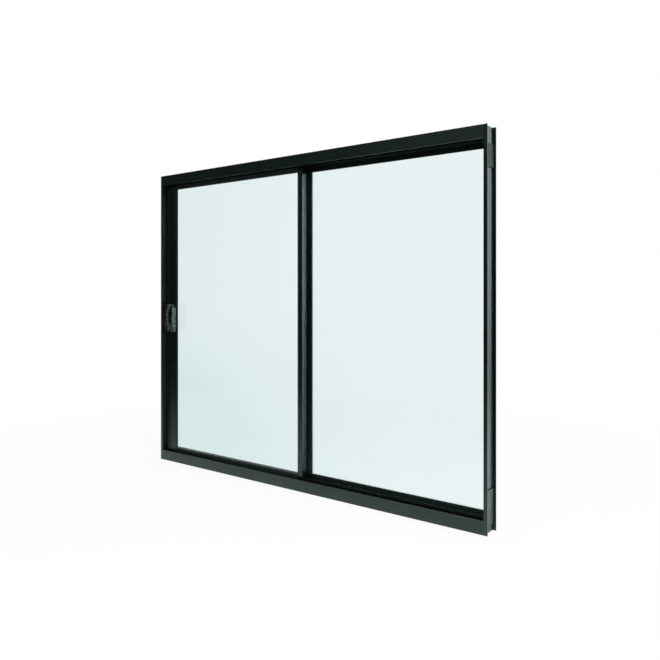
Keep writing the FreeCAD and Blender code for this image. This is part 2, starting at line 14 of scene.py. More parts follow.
import bmesh
import bpy
import numpy as np
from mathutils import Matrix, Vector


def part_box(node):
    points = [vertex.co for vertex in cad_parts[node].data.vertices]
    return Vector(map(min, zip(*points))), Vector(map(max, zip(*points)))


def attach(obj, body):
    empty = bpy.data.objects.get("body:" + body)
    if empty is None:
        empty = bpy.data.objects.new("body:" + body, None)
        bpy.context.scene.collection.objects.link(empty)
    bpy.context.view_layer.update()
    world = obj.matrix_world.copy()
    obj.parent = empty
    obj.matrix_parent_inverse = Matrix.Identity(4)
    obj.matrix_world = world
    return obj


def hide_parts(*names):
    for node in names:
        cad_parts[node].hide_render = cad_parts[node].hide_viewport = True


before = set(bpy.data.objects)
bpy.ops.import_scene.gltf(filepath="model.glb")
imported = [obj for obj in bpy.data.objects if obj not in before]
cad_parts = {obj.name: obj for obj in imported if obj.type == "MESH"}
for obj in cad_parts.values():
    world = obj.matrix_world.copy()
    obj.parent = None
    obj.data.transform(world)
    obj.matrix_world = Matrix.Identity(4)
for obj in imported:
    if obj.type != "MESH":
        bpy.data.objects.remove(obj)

log = logging.getLogger("window")

Colour = tuple[float, float, float]
Point = tuple[float, float, float]
Socket = bpy.types.NodeSocket
Outputs = bpy.types.NodeOutputs

BEVEL_SAMPLES = 4
WHITE = (1.0, 1.0, 1.0)


@dataclass(frozen=True)
class Ramp:
    """A straight way from low, at start, to high, at end, with both levels held beyond them."""

    low: float
    high: float
    start: float = 0.3
    end: float = 0.7


@dataclass(frozen=True)
class Noise:
    """Smooth noise from 0 to 1: patches to the metre, finer layers, and a scale for each axis."""

    scale: float
    detail: float = 2.0
    stretch: Point | None = None


LINE_SCALE_ALONG = 1.5
LINE_SCALE_ACROSS = 900.0
EDGE_LEAN = Ramp(1.0, 0.0, start=0.86, end=0.99)


class Body(Enum):
    """The two rigid bodies of the window."""

    FRAME = "frame"
    SASH = "sash"


class Grain(Enum):
    """The way that the drawing lines of an extrusion run."""

    ALONG_X = "x"
    ALONG_Z = "z"

    @property
    def stretch(self) -> Point:
        """Give the scale on each axis that draws noise out along the lines."""
        along, across = LINE_SCALE_ALONG, LINE_SCALE_ACROSS
        return (along, across, across) if self is Grain.ALONG_X else (across, across, along)

    @property
    def across(self) -> Point:
        """Give a way across the lines that is the normal of no face."""
        return (0.0, 1.0, 1.0) if self is Grain.ALONG_X else (1.0, 1.0, 0.0)


def opaque(colour: Colour) -> tuple[float, float, float, float]:
    """Give a colour with its full alpha."""
    return (*colour, 1.0)


class ShaderGraph:
    """The node tree of one material or world, with short calls for the nodes that many share."""

    def __init__(self, owner: bpy.types.Material | bpy.types.World) -> None:
        """Start with an empty tree.

        Args:
            owner: The material or world that the tree is for.
        """
        self.owner = owner
        owner.use_nodes = True
        self.tree = owner.node_tree
        self.tree.nodes.clear()

    def node(self, kind: str, inputs: dict[str | int, object] | None = None,
             **settings: object) -> bpy.types.Node:
        """Add a node.

        Args:
            kind: Blender's name for the kind of node.
            inputs: Values or output sockets for the node's inputs, by the input's name or number.
            settings: The node's own settings.

        Returns:
            The new node.
        """
        made = self.tree.nodes.new(kind)
        for name, setting in settings.items():
            setattr(made, name, setting)
        for key, given in (inputs or {}).items():
            self.feed(made.inputs[key], given)
        return made

    def feed(self, socket: Socket, given: object) -> None:
        """Give an input socket a value, or link it to an output socket."""
        if isinstance(given, Socket):
            self.tree.links.new(given, socket)
        else:
            socket.default_value = given

    def place(self) -> Socket:
        """Give the surface's place in the window's frame."""
        return self.node("ShaderNodeTexCoord").outputs["Object"]

    def axes(self, vector: Socket) -> Outputs:
        """Split a vector into its X, Y and Z."""
        return self.node("ShaderNodeSeparateXYZ", {"Vector": vector}).outputs

    def path(self) -> Outputs:
        """Give what is known of the ray, by Blender's names."""
        return self.node("ShaderNodeLightPath").outputs

    def noise(self, noise: Noise) -> Socket:
        """Add smooth noise over the surface's place.

        Args:
            noise: Its scale, layers and stretch.

        Returns:
            The noise, from 0 to 1.
        """
        vector = self.place()
        if noise.stretch is not None:
            mapping = {"Vector": vector, "Scale": noise.stretch}
            vector = self.node("ShaderNodeMapping", mapping).outputs["Vector"]
        inputs = {"Vector": vector, "Scale": noise.scale, "Detail": noise.detail}
        return self.node("ShaderNodeTexNoise", inputs).outputs["Fac"]

    def cells(self, scale: float, output: str) -> Socket:
        """Add a pattern of cells over the surface's place.

        Args:
            scale: Cells to the metre.
            output: "Distance" from each cell's middle, or a "Color" of each cell's own.

        Returns:
            The pattern.
        """
        inputs = {"Vector": self.place(), "Scale": scale}
        return self.node("ShaderNodeTexVoronoi", inputs).outputs[output]

    def ramp(self, value: Socket, ramp: Ramp) -> Socket:
        """Carry a value along a ramp.

        Args:
            value: The value.
            ramp: The ramp, whose start and end are the value's.

        Returns:
            The ramp's level there.
        """
        inputs = {"Value": value, "From Min": ramp.start, "From Max": ramp.end,
                  "To Min": ramp.low, "To Max": ramp.high}
        return self.node("ShaderNodeMapRange", inputs).outputs["Result"]

    def blend(self, share: Socket, first: Colour | Socket, second: Colour) -> Socket:
        """Mix two colours.

        Args:
            share: The share of the second colour.
            first: The first colour, or a colour socket.
            second: The second colour.

        Returns:
            The mixed colour.
        """
        made = self.node("ShaderNodeMix", {"Factor": share}, data_type="RGBA")
        inputs = [socket for socket in made.inputs if socket.type == "RGBA"]
        self.feed(inputs[0], first if isinstance(first, Socket) else opaque(first))
        self.feed(inputs[1], opaque(second))
        return [socket for socket in made.outputs if socket.type == "RGBA"][0]

    def math(self, operation: str, first: object, second: object) -> Socket:
        """Work out one step of arithmetic.

        Args:
            operation: Blender's name for the step.
            first: The first value or socket.
            second: The second value or socket.

        Returns:
            The result.
        """
        return self.node("ShaderNodeMath", {0: first, 1: second}, operation=operation).outputs[0]

    def dot(self, first: object, second: object) -> Socket:
        """Give the dot product of two vectors or sockets."""
        made = self.node("ShaderNodeVectorMath", {0: first, 1: second}, operation="DOT_PRODUCT")
        return made.outputs["Value"]

    def choose(self, share: Socket, first: object, second: object) -> Socket:
        """Mix two levels by a share: first * (1 - share) + second * share."""
        rest = self.math("MULTIPLY", first, self.math("SUBTRACT", 1.0, share))
        return self.math("ADD", rest, self.math("MULTIPLY", second, share))

    def bump(self, height: Socket, depth: float, normal: Socket | None = None) -> Socket:
        """Roughen the normal.

        Args:
            height: The height pattern, from 0 to 1.
            depth: The pattern's depth in metres.
            normal: The normal to roughen, if not the surface's own.

        Returns:
            The roughened normal.
        """
        inputs = {"Height": height, "Distance": depth}
        if normal is not None:
            inputs["Normal"] = normal
        return self.node("ShaderNodeBump", inputs).outputs["Normal"]

    def round_edges(self, radius: float) -> Socket:
        """Give the normal as if sharp edges were rounded to a radius in metres."""
        made = self.node("ShaderNodeBevel", {"Radius": radius}, samples=BEVEL_SAMPLES)
        return made.outputs["Normal"]

    def edge_mask(self, rounded: Socket) -> Socket:
        """Mark the edges: the more the rounded normal leans from the true one, the nearer to 1."""
        true = self.node("ShaderNodeNewGeometry").outputs["True Normal"]
        return self.ramp(self.dot(rounded, true), EDGE_LEAN)

    def mirrored(self, outward: Socket) -> Socket:
        """Give 1 for rays that gloss has turned back, also where they then pass out through glass.

        Args:
            outward: How far the ray goes or lies towards the outside; a ray that comes back
                through glass towards the room counts as a plain one.

        Returns:
            The share, 0 or 1.
        """
        path = self.path()
        inward = self.math("LESS_THAN", outward, 0.0)
        back = self.math("MULTIPLY", path["Is Transmission Ray"], inward)
        return self.math("MULTIPLY", self.math("MINIMUM", path["Glossy Depth"], 1.0),
                         self.math("SUBTRACT", 1.0, back))

    def seen_directly(self) -> Socket:
        """Give 1 for rays from the camera or through glass, and 0 for the rest."""
        path = self.path()
        return self.math("MAXIMUM", path["Is Camera Ray"], path["Is Transmission Ray"])

    def principled(self, inputs: dict[str | int, object]) -> Socket:
        """Add a surface shader, from the inputs that differ from Blender's own."""
        return self.node("ShaderNodeBsdfPrincipled", inputs).outputs["BSDF"]

    def mix_shaders(self, share: Socket, first: Socket, second: Socket) -> Socket:
        """Mix two shaders by the share of the second."""
        return self.node("ShaderNodeMixShader", {0: share, 1: first, 2: second}).outputs["Shader"]

    def shown(self, surface: Socket) -> bpy.types.Material | bpy.types.World:
        """Send a shader to the output and give the tree's owner."""
        kind = "World" if isinstance(self.owner, bpy.types.World) else "Material"
        self.node("ShaderNodeOutput" + kind, {"Surface": surface})
        return self.owner


@dataclass(frozen=True)
class Finish:
    """A finish of the window, with the record's material slot that it stands for.

    It builds its material once and hands out that one.
    """

    name: str
    slot: str

    def material(self) -> bpy.types.Material:
        """Give the finish's material."""
        made = bpy.data.materials.get("finish_" + self.name)
        if made is None:
            graph = ShaderGraph(bpy.data.materials.new("finish_" + self.name))
            made = graph.shown(self.shader(graph))
        return made

    def shader(self, graph: ShaderGraph) -> Socket:
        """Build the finish's nodes; each kind of finish has its own."""
        raise NotImplementedError


@dataclass(frozen=True)
class PowderCoat(Finish):
    """Satin powder coat over an extrusion: a fine orange peel, faint drawing lines and worn edges.

    Its gloss is drawn out across the lines.
    """

    grain: Grain
    colour: Colour = (0.0002, 0.0030, 0.0021)
    drift: Colour = (0.0006, 0.0040, 0.0029)
    drifting: Noise = Noise(2.4, 3.0)
    worn: Colour = (0.016, 0.021, 0.020)
    wearing: Noise = Noise(60.0, 3.0)
    scuffs: Ramp = Ramp(0.0, 1.0, start=0.45, end=0.65)
    wear_share: float = 0.7
    gloss_tint: Colour = (0.72, 1.0, 0.95)
    gloss_ior: float = 1.6
    dulling: Noise = Noise(9.0, 4.0)
    rough: Ramp = Ramp(0.36, 0.44)
    drawn: float = 0.75
    edge_radius: float = 0.0006
    peel: Noise = Noise(520.0, 1.0)
    peel_depth: float = 0.00003
    line_depth: float = 0.00001

    def shader(self, graph: ShaderGraph) -> Socket:
        """Build the coat: its height is the peel's noise plus noise drawn out along the grain."""
        rounded = graph.round_edges(self.edge_radius)
        lines = graph.noise(Noise(scale=1.0, detail=1.0, stretch=self.grain.stretch))
        peeled = graph.bump(graph.noise(self.peel), self.peel_depth, rounded)
        base = graph.blend(graph.noise(self.drifting), self.colour, self.drift)
        scuffs = graph.ramp(graph.noise(self.wearing), self.scuffs)
        wear = graph.math("MULTIPLY", graph.edge_mask(rounded), scuffs)
        across = graph.node("ShaderNodeCombineXYZ", dict(zip("XYZ", self.grain.across)))
        return graph.principled({
            "Base Color": graph.blend(graph.math("MULTIPLY", wear, self.wear_share), base, self.worn),
            "Roughness": graph.ramp(graph.noise(self.dulling), self.rough),
            "IOR": self.gloss_ior,
            "Normal": graph.bump(lines, self.line_depth, peeled),
            "Specular Tint": opaque(self.gloss_tint),
            "Anisotropic": self.drawn,
            "Tangent": across.outputs["Vector"],
        })


@dataclass(frozen=True)
class CastPaint(Finish):
    """Paint on a die-cast part: smoother than the coat, with soft hand wear on its edges."""

    colour: Colour = (0.0025, 0.0045, 0.0042)
    worn: Colour = (0.022, 0.028, 0.026)
    rubbing: Noise = Noise(110.0, 3.0)
    rubbed: Ramp = Ramp(0.2, 1.0)
    gloss_tint: Colour = (0.72, 1.0, 0.95)
    gloss_ior: float = 1.4
    dulling: Noise = Noise(70.0, 3.0)
    rough: Ramp = Ramp(0.22, 0.34)
    edge_radius: float = 0.0008
    cast: Noise = Noise(1400.0, 2.0)
    cast_depth: float = 0.000025

    def shader(self, graph: ShaderGraph) -> Socket:
        """Build the paint: fine cast texture under gloss, rubbed paler where edges lean."""
        rounded = graph.round_edges(self.edge_radius)
        rubbed = graph.ramp(graph.noise(self.rubbing), self.rubbed)
        wear = graph.math("MULTIPLY", graph.edge_mask(rounded), rubbed)
        return graph.principled({
            "Base Color": graph.blend(wear, self.colour, self.worn),
            "Roughness": graph.ramp(graph.noise(self.dulling), self.rough),
            "IOR": self.gloss_ior,
            "Normal": graph.bump(graph.noise(self.cast), self.cast_depth, rounded),
            "Specular Tint": opaque(self.gloss_tint),
        })


@dataclass(frozen=True)
class FloatGlass(Finish):
    """Clear float glass, pale green, with painted shade to the lower left and a trace of wiping
    marks.

    Painted shade: the colour darkens down Z, with noise added to it, and towards the left along X,
    standing in for shaded floor seen through the glass.
    """

    tint: Colour = (0.845, 0.93, 0.93)
    # colour of the painted shade, which stands in for shaded floor seen through the glass
    painted_shade_colour: Colour = (0.65, 0.80, 0.785)
    painted_shade_wander: Noise = Noise(1.6, 1.0)
    painted_shade_reach: float = 0.4
    # shares of the painted shade: more low down along Z and more towards the left along X
    low: Ramp = Ramp(1.0, 0.25, start=0.2, end=0.95)
    left: Ramp = Ramp(1.0, 0.15, start=-0.8, end=0.5)
    wiping: Noise = Noise(1.0, 3.0, (3.0, 3.0, 40.0))
    rough: Ramp = Ramp(0.0, 0.012, start=0.5, end=0.8)
    gloss_ior: float = 1.52
    lamp_share: Colour = (0.86, 0.92, 0.90)

    def shader(self, graph: ShaderGraph) -> Socket:
        """Build the glass, which lets lamps and soft light through as a clear sheet does."""
        axes = graph.axes(graph.place())
        # painted shade: darker down Z, with a wandering edge, and darker towards the left along X
        painted_shade_wander = graph.math("MULTIPLY", graph.noise(self.painted_shade_wander), self.painted_shade_reach)
        low = graph.ramp(graph.math("ADD", axes["Z"], painted_shade_wander), self.low)
        left = graph.ramp(axes["X"], self.left)
        pane = graph.principled({
            "Base Color": graph.blend(graph.math("MULTIPLY", low, left), self.tint, self.painted_shade_colour),
            "Roughness": graph.ramp(graph.noise(self.wiping), self.rough),
            "IOR": self.gloss_ior,
            "Transmission Weight": 1.0,
        })
        clear = graph.node("ShaderNodeBsdfTransparent", {"Color": opaque(self.lamp_share)})
        path = graph.path()
        dim = graph.math("MAXIMUM", path["Is Shadow Ray"], path["Is Diffuse Ray"])
        return graph.mix_shaders(dim, pane, clear.outputs["BSDF"])


@dataclass(frozen=True)
class SealRubber(Finish):
    """Extruded black rubber: matt, faintly bloomed, with a fine grain."""

    colour: Colour = (0.010, 0.011, 0.011)
    bloom: Colour = (0.022, 0.023, 0.023)
    blooming: Noise = Noise(35.0, 4.0)
    bloomed: Ramp = Ramp(0.0, 1.0)
    rough: Ramp = Ramp(0.48, 0.66, start=0.0, end=1.0)
    grain: Noise = Noise(1800.0, 2.0)
    grain_depth: float = 0.00004

    def shader(self, graph: ShaderGraph) -> Socket:
        """Build the rubber: bloom follows slow noise, and the bump is fine grain."""
        bloom = graph.ramp(graph.noise(self.blooming), self.bloomed)
        return graph.principled({
            "Base Color": graph.blend(bloom, self.colour, self.bloom),
            "Roughness": graph.ramp(bloom, self.rough),
            "Normal": graph.bump(graph.noise(self.grain), self.grain_depth),
        })


@dataclass(frozen=True)
class MouldedNylon(Finish):
    """Moulded nylon, black or natural, with a fine spark-eroded texture."""

    colour: Colour
    drift: Colour
    rough: Ramp
    drifting: Noise = Noise(45.0, 3.0)
    gloss_tint: Colour = (0.74, 1.0, 0.95)
    gloss_ior: float = 1.5
    edge_radius: float = 0.0005
    spark_scale: float = 1500.0
    spark_depth: float = 0.00003

    def shader(self, graph: ShaderGraph) -> Socket:
        """Build the nylon: cell-like texture from a mould, and a slow drift in colour."""
        slow = graph.noise(self.drifting)
        sparks = graph.cells(self.spark_scale, "Distance")
        return graph.principled({
            "Base Color": graph.blend(slow, self.colour, self.drift),
            "Roughness": graph.ramp(slow, self.rough),
            "IOR": self.gloss_ior,
            "Specular Tint": opaque(self.gloss_tint),
            "Normal": graph.bump(sparks, self.spark_depth, graph.round_edges(self.edge_radius)),
        })


@dataclass(frozen=True)
class PileFibre(Finish):
    """Dark grey woven pile: tufts with a little sheen, and painted shade darkening them between."""

    # colour of the painted shade between the tufts, then the tufts' own colour where they stand up
    painted_shade_colour: Colour = (0.0006, 0.0010, 0.0009)
    tip: Colour = (0.0032, 0.0042, 0.0040)
    fibres: Noise = Noise(1.0, 2.0, (2200.0, 160.0, 900.0))
    painted_tuft_shade: Ramp = Ramp(0.0, 1.0)
    rough: Ramp = Ramp(0.95, 0.8)
    gloss_ior: float = 1.25
    sheen: float = 0.02
    fibre_depth: float = 0.0003

    def shader(self, graph: ShaderGraph) -> Socket:
        """Build the pile: noise drawn out along the tufts, which is along Y, gives the fibres."""
        fibres = graph.noise(self.fibres)
        return graph.principled({
            # painted shade: the colour is darker where the fibres' bump is low, between the tufts
            "Base Color": graph.blend(graph.ramp(fibres, self.painted_tuft_shade), self.painted_shade_colour, self.tip),
            "Roughness": graph.ramp(fibres, self.rough),
            "IOR": self.gloss_ior,
            "Sheen Weight": self.sheen,
            "Normal": graph.bump(fibres, self.fibre_depth),
        })


@dataclass(frozen=True)
class ZincPlate(Finish):
    """Zinc-plated steel: pale grains of unlike gloss, faintly clouded."""

    bright: Colour = (0.60, 0.61, 0.62)
    cloud: Colour = (0.42, 0.43, 0.44)
    clouding: Noise = Noise(90.0, 4.0)
    clouded: Ramp = Ramp(0.0, 1.0)
    grain_scale: float = 380.0
    rough: Ramp = Ramp(0.26, 0.42, start=0.0, end=1.0)
    edge_radius: float = 0.0004
    fine: Noise = Noise(1600.0, 1.0)
    fine_depth: float = 0.00001

    def shader(self, graph: ShaderGraph) -> Socket:
        """Build the plating: each grain has its own roughness, and clouds dull the colour."""
        cloud = graph.ramp(graph.noise(self.clouding), self.clouded)
        rounded = graph.round_edges(self.edge_radius)
        return graph.principled({
            "Base Color": graph.blend(cloud, self.bright, self.cloud),
            "Metallic": 1.0,
            "Roughness": graph.ramp(graph.cells(self.grain_scale, "Color"), self.rough),
            "Normal": graph.bump(graph.noise(self.fine), self.fine_depth, rounded),
        })


@dataclass(frozen=True)
class BlackScrew(Finish):
    """Blackened stainless screw: a dark film over metal, worn through a little."""

    film: Colour = (0.012, 0.014, 0.014)
    bare: Colour = (0.10, 0.105, 0.105)
    wearing: Noise = Noise(700.0, 3.0)
    worn: Ramp = Ramp(0.0, 1.0, start=0.45, end=0.75)
    metal: float = 0.6
    rough: Ramp = Ramp(0.42, 0.30, start=0.0, end=1.0)
    edge_radius: float = 0.0002
    turning: Noise = Noise(2400.0, 1.0)
    turning_depth: float = 0.00001

    def shader(self, graph: ShaderGraph) -> Socket:
        """Build the film: noise and leaning edges wear it, and the bump is a fine roughness."""
        rounded = graph.round_edges(self.edge_radius)
        worn = graph.ramp(graph.noise(self.wearing), self.worn)
        share = graph.math("MULTIPLY", worn, graph.edge_mask(rounded))
        return graph.principled({
            "Base Color": graph.blend(share, self.film, self.bare),
            "Metallic": self.metal,
            "Roughness": graph.ramp(worn, self.rough),
            "Normal": graph.bump(graph.noise(self.turning), self.turning_depth, rounded),
        })


@dataclass(frozen=True)
class Finishes:
    """Every finish on the window, by what it covers."""

    level_coat: Finish = PowderCoat("coat_on_level_profiles", "black_powder_coat", Grain.ALONG_X)
    upright_coat: Finish = PowderCoat("coat_on_upright_profiles", "black_powder_coat", Grain.ALONG_Z)
    housing_paint: Finish = CastPaint("latch_housing_paint", "latch_black")
    lever_paint: Finish = CastPaint("latch_lever_paint", "latch_black", gloss_ior=1.24)
    glass: Finish = FloatGlass("float_glass", "clear_glass")
    rubber: Finish = SealRubber("seal_rubber", "black_rubber")
    black_nylon: Finish = MouldedNylon("black_nylon", "black_nylon", (0.006, 0.010, 0.009),
                                       (0.011, 0.016, 0.015), Ramp(0.40, 0.54), gloss_ior=1.27)
    white_nylon: Finish = MouldedNylon("white_nylon", "white_nylon", (0.70, 0.69, 0.65),
                                       (0.62, 0.60, 0.54), Ramp(0.28, 0.42), gloss_tint=WHITE)
    pile: Finish = PileFibre("dark_grey_pile", "grey_pile")
    zinc: Finish = ZincPlate("zinc_plate", "zinc_steel")
    screw: Finish = BlackScrew("black_screw", "black_powder_coat")


FINISHES = Finishes()


@dataclass(frozen=True)
class Opening:
    """An upright rectangle of bare glass, seen from the room."""

    left: float
    right: float
    low: float
    high: float

    def corners(self) -> np.ndarray:
        """Give the four corners as X and Z, round from the lower left."""
        return np.array([(self.left, self.low), (self.right, self.low),
                         (self.right, self.high), (self.left, self.high)])

    def inward(self) -> np.ndarray:
        """Give each corner's step towards the middle, one unit on each axis."""
        return np.array([(1.0, 1.0), (-1.0, 1.0), (-1.0, -1.0), (1.0, -1.0)])


def grid_quads(rows: int, columns: int, round_rows: bool, round_columns: bool) -> np.ndarray:
    """Number the faces of a grid of points, whose point number is row times columns plus column.

    Args:
        rows: Rows of points.
        columns: Points in a row.
        round_rows: True if the last row joins the first.
        round_columns: True if each row's last point joins its first.

    Returns:
        One row of four point numbers for each face.
    """
    down = np.arange(rows if round_rows else rows - 1)[:, None]
    along = np.arange(columns if round_columns else columns - 1)[None, :]
    below, beside = (down + 1) % rows, (along + 1) % columns
    corners = (down * columns + along, down * columns + beside,
               below * columns + beside, below * columns + along)
    return np.stack(corners, -1).reshape(-1, 4)


def make_piece(name: str, points: np.ndarray, faces: Sequence[Sequence[int]], finish: Finish,
               body: Body, smooth_angle: float = 40.0) -> bpy.types.Object:
    """Make a mesh piece whose place is in its mesh, and let it ride on a body.

    Args:
        name: The piece's name.
        points: Its points, one row of X, Y and Z each.
        faces: The point numbers of its faces.
        finish: The finish that covers it.
        body: The body that carries it.
        smooth_angle: Faces that meet at less than this angle, in degrees, are shaded as one.

    Returns:
        The new piece.
    """
    mesh = bpy.data.meshes.new(name)
    mesh.from_pydata(points.tolist(), [], [list(map(int, face)) for face in faces])
    shell = bmesh.new()
    shell.from_mesh(mesh)
    bmesh.ops.recalc_face_normals(shell, faces=shell.faces)
    limit = math.radians(smooth_angle)
    for edge in shell.edges:
        edge.smooth = len(edge.link_faces) != 2 or edge.calc_face_angle(0.0) < limit
    for face in shell.faces:
        face.smooth = True
    shell.to_mesh(mesh)
    shell.free()
    mesh.materials.append(finish.material())
    piece = bpy.data.objects.new(name, mesh)
    bpy.context.scene.collection.objects.link(piece)
    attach(piece, body.value)
    log.info("%s: %d points, %d faces, on the %s", name, len(points), len(faces), body.value)
    return piece


def dress(nodes: Sequence[str], finish: Finish) -> None:
    """Put a finish on carried-over parts.

    Args:
        nodes: Their names.
        finish: The finish.
    """
    for name in nodes:
        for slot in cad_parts[name].material_slots:
            slot.material = finish.material()
    log.info("%s: on %s", finish.name, ", ".join(nodes))


@dataclass(frozen=True)
class PanHead:
    """Head of a cross-recessed screw, as a height over a disc."""

    radius: float = 0.0045
    height: float = 0.0026
    sunk: float = 0.0003
    dome: float = 0.8
    slot_half: float = 0.00065
    slot_reach: float = 0.0026
    slot_depth: float = 0.0014
    slot_slope: float = 0.0002
    middle_share: float = 0.12
    rings: int = 10
    spokes: int = 32

    def points(self) -> np.ndarray:
        """Work out the head's points, with its axis along Z.

        The dome's height at r is height * sqrt(1 - dome * (r / radius)^2). The cross takes from
        it its depth times a step that is 1 inside either bar of the cross and falls to 0 over
        the slope's width.

        Returns:
            The middle point, then each ring outwards, then the sunk foot.
        """
        reach = np.linspace(self.middle_share, 1.0, self.rings)[:, None] * self.radius
        turn = np.linspace(0.0, 2 * np.pi, self.spokes, endpoint=False)[None, :]
        across, up = reach * np.cos(turn), reach * np.sin(turn)
        wide, narrow = np.maximum(abs(across), abs(up)), np.minimum(abs(across), abs(up))
        inside = np.clip((self.slot_half - narrow) / self.slot_slope + 0.5, 0, 1)
        inside = inside * np.clip((self.slot_reach - wide) / self.slot_slope + 0.5, 0, 1)
        dome = self.height * np.sqrt(1 - self.dome * (reach / self.radius) ** 2)
        top = np.stack([across, up, dome - self.slot_depth * inside], -1).reshape(-1, 3)
        middle = np.array([(0.0, 0.0, self.height - self.slot_depth)])
        foot = np.stack([across[-1], up[-1], np.full(self.spokes, -self.sunk)], -1)
        return np.concatenate([middle, top, foot])

    def faces(self) -> list[list[int]]:
        """Number the head's faces: a fan, the rings with the foot, and the flat end."""
        spokes = np.arange(self.spokes)
        fan = np.stack([np.zeros_like(spokes), spokes + 1, (spokes + 1) % self.spokes + 1], -1)
        rings = grid_quads(self.rings + 1, self.spokes, False, True) + 1
        end = (self.rings * self.spokes + 1 + spokes)[::-1]
        return [*fan.tolist(), *rings.tolist(), end.tolist()]


@dataclass(frozen=True)
class ScrewRow:
    """Screws that share a head, a level direction, a finish and a body."""

    name: str
    head: PanHead
    axis: Point
    finish: Finish
    body: Body

    def build(self, places: Sequence[Point]) -> bpy.types.Object:
        """Set a head at each place; each is turned by an angle of its own.

        Args:
            places: Where each head sits on its surface.

        Returns:
            One piece with every head.
        """
        axis = np.array(self.axis)
        side = np.cross(axis, (0.0, 0.0, 1.0))
        basis = np.stack([side, np.cross(axis, side), axis])
        head, faces = self.head.points(), self.head.faces()
        turns = np.random.default_rng(len(places)).uniform(0, np.pi, len(places))
        spin = np.zeros((len(places), 3, 3))
        spin[:, 0, 0] = spin[:, 1, 1] = np.cos(turns)
        spin[:, 0, 1], spin[:, 1, 0] = np.sin(turns), -np.sin(turns)
        spin[:, 2, 2] = 1.0
        points = head @ spin @ basis + np.array(places)[:, None, :]
        numbered = [[number + step * len(head) for number in face]
                    for step in range(len(places)) for face in faces]
        return make_piece(self.name, points.reshape(-1, 3), numbered, self.finish, self.body)


@dataclass(frozen=True)
class GasketLip:
    """Rubber gasket that is pinched between a lip and the glass and bulges out past the lip."""

    foot: float = 0.008
    reach: float = 0.0022
    pinched: float = 0.0013
    bulge: float = 0.0019
    neck: float = 0.0008
    steps: int = 14
    smooth_angle: float = 50.0

    def profile(self) -> np.ndarray:
        """Work out the section as distance towards the middle and height over the glass.

        The foot is a flat strip. The bulge is half an ellipse: reach * sin(t) inward and
        bulge / 2 * (1 - cos(t)) high, as t goes from 0 to half a turn.

        Returns:
            The section's points, round from the foot's end at the bulge.
        """
        turn = np.linspace(0.0, np.pi, self.steps)
        bulb = np.stack([self.reach * np.sin(turn), self.bulge / 2 * (1 - np.cos(turn))], -1)
        foot = [(-self.neck, self.pinched), (-self.foot, self.pinched), (-self.foot, 0.0)]
        return np.concatenate([bulb, foot])

    def build(self, name: str, opening: Opening, glass_face: float, facing: float,
              body: Body, *nodes: str) -> bpy.types.Object:
        """Carry the section round an opening, mitred at its corners.

        Args:
            name: The piece's name.
            opening: The bare glass that the gasket goes round.
            glass_face: The glass face's Y.
            facing: The way that the face looks along Y, -1 for the room or 1 for outside.
            body: The body that carries it.
            nodes: The plain parts that it stands for.

        Returns:
            The gasket.
        """
        section = self.profile()
        corners, inward = opening.corners()[:, None, :], opening.inward()[:, None, :]
        plan = corners + inward * section[None, :, :1]
        depth = np.broadcast_to(glass_face + facing * section[:, 1], plan.shape[:2])
        points = np.stack([plan[..., 0], depth, plan[..., 1]], -1).reshape(-1, 3)
        faces = grid_quads(len(corners), len(section), True, True)
        piece = make_piece(name, points, faces, FINISHES.rubber, body, self.smooth_angle)
        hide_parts(*nodes)
        return piece


@dataclass(frozen=True)
class BrushStrip:
    """Pile strip along X: a bar whose tuft side is ruffled."""

    pitch: float = 0.0021
    stations_to_tuft: int = 3
    levels: tuple[float, ...] = (0.0, 0.2, 0.5, 0.8, 1.0)
    ruffle: float = 0.0007
    least_share: float = 0.6
    chance_share: float = 0.8
    drawn_back: float = 0.0014
    seed: int = 5
    smooth_angle: float = 80.0

    def build(self, name: str, node: str, body: Body) -> bpy.types.Object:
        """Ruffle the room side of a plain strip.

        With u from 0 at the strip's foot to 1 at its top, the tuft's Y is the strip's own, plus
        drawn_back * (2 |u - 1/2|)^3, plus ruffle * (1/2 + 1/2 sin(2 pi x / pitch)) times the
        least share and a chance share.

        Args:
            name: The piece's name.
            node: The plain strip that it stands for.
            body: The body that carries it.

        Returns:
            The strip.
        """
        low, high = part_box(node)
        length, tall = high.x - low.x, high.z - low.z
        stations = int(length / self.pitch * self.stations_to_tuft)
        along = np.linspace(low.x, high.x, stations)[:, None]
        level = np.array(self.levels)[None, :]
        shape = (stations, len(self.levels))
        chance = np.random.default_rng(self.seed).uniform(0.0, self.chance_share, shape)
        wave = 0.5 + 0.5 * np.sin(2 * np.pi * along / self.pitch)
        drawn = self.drawn_back * (2 * abs(level - 0.5)) ** 3
        tuft = low.y + drawn + self.ruffle * wave * (self.least_share + chance)
        room = np.stack([np.broadcast_to(along, shape), tuft,
                         np.broadcast_to(low.z + tall * level, shape)], -1)
        back = np.stack([np.repeat(along, 2, 1), np.full((stations, 2), high.y),
                         np.broadcast_to([high.z, low.z], (stations, 2))], -1)
        ring = np.concatenate([room, back], 1)
        columns = ring.shape[1]
        faces = grid_quads(stations, columns, False, True).tolist()
        faces += [list(range(columns)), list(range((stations - 1) * columns, stations * columns))]
        points = ring.reshape(-1, 3)
        piece = make_piece(name, points, faces, FINISHES.pile, body, self.smooth_angle)
        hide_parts(node)
        return piece


